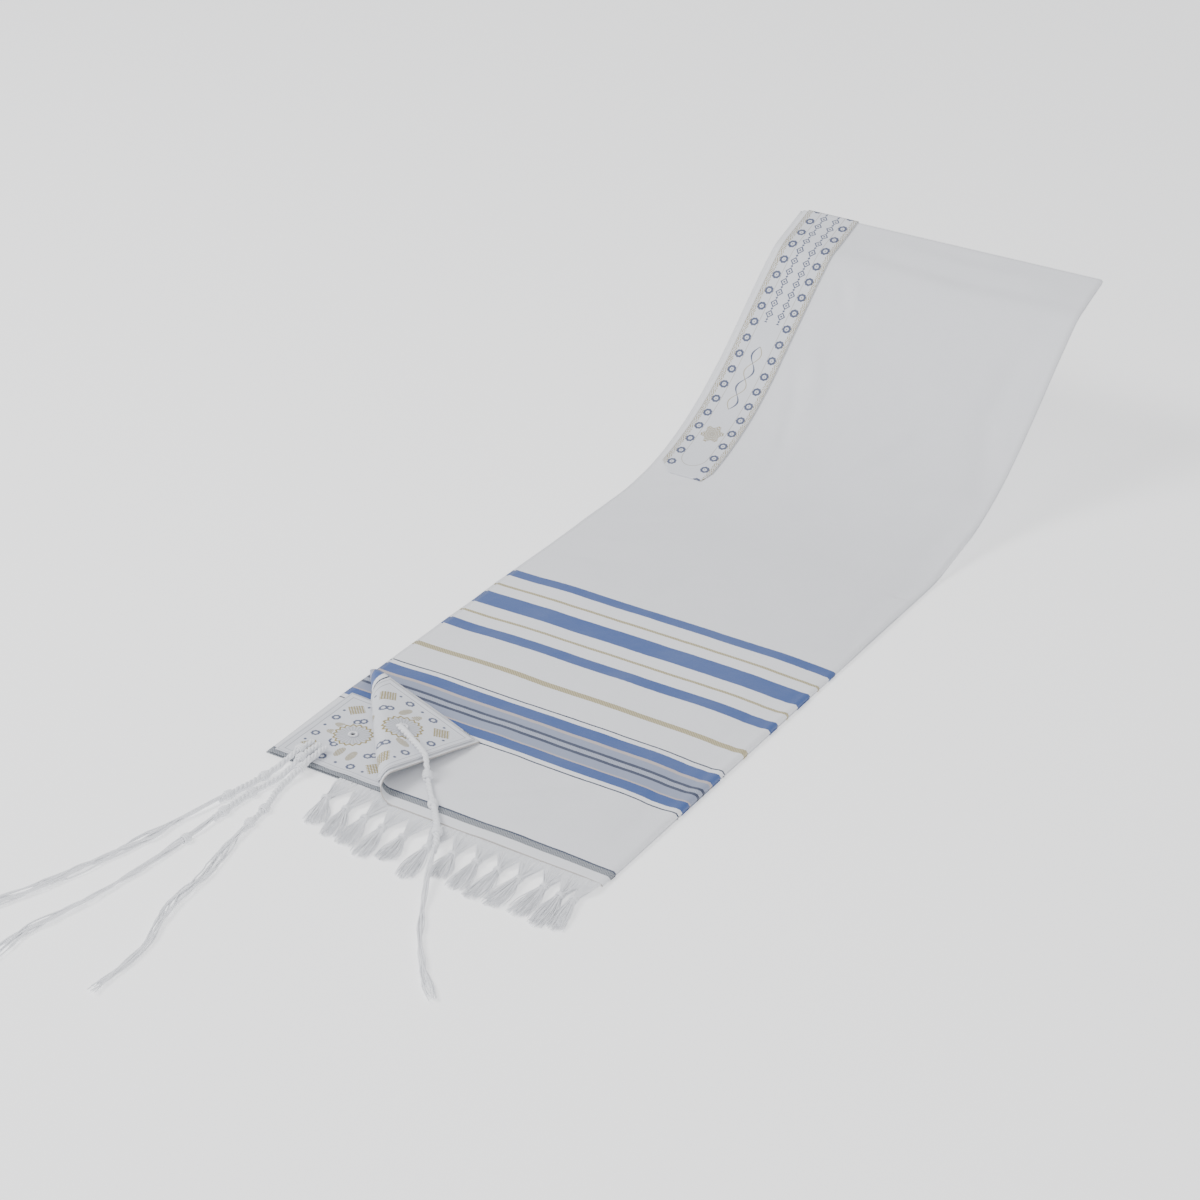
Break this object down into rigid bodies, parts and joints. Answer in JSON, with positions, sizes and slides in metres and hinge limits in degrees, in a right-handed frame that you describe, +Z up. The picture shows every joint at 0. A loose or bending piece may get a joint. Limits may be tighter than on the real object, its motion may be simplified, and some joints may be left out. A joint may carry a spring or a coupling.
{
  "type": "tallit prayer shawl",
  "caption": "Folded prayer shawl lying flat with its far end swept up, striped, with a woven collar band, corner patches, knotted fringe and tzitzit cords.",
  "frame": {"origin": "on the table, under the middle of the shawl without its tzitzit cords", "axes": "+Y from the near fringe to the far fold, +X from the open left edge to the folded right edge, +Z up"},
  "size_m": [0.3493, 1.1275, 0.1683],
  "materials": {
    "cloth": "fine matt plain weave, off-white, with royal blue, gold and grey woven stripes",
    "satin_band": "jacquard satin, silver-white ground with blue and gold figures",
    "satin_patch": "jacquard satin, silver-white ground with blue, gold and grey figures",
    "fringe": "soft loose yarn, knotted and brushed out",
    "tzitzit": "twisted white yarn, wound and knotted, loose below"
  },
  "bodies": {
    "root": {"cloth_top_layer": "cloth", "cloth_hidden_layers": "cloth", "cloth_turned_corner": "cloth", "collar_band": "satin_band", "corner_patch_lower": "satin_patch", "corner_patch_turned": "satin_patch", "fringe_top_layer": "fringe", "fringe_lower_layers": "fringe", "tzitzit_cord_left": "tzitzit", "tzitzit_cord_middle": "tzitzit", "tzitzit_cord_right": "tzitzit", "tzitzit_cord_turned": "tzitzit"}
  },
  "joints": []
}
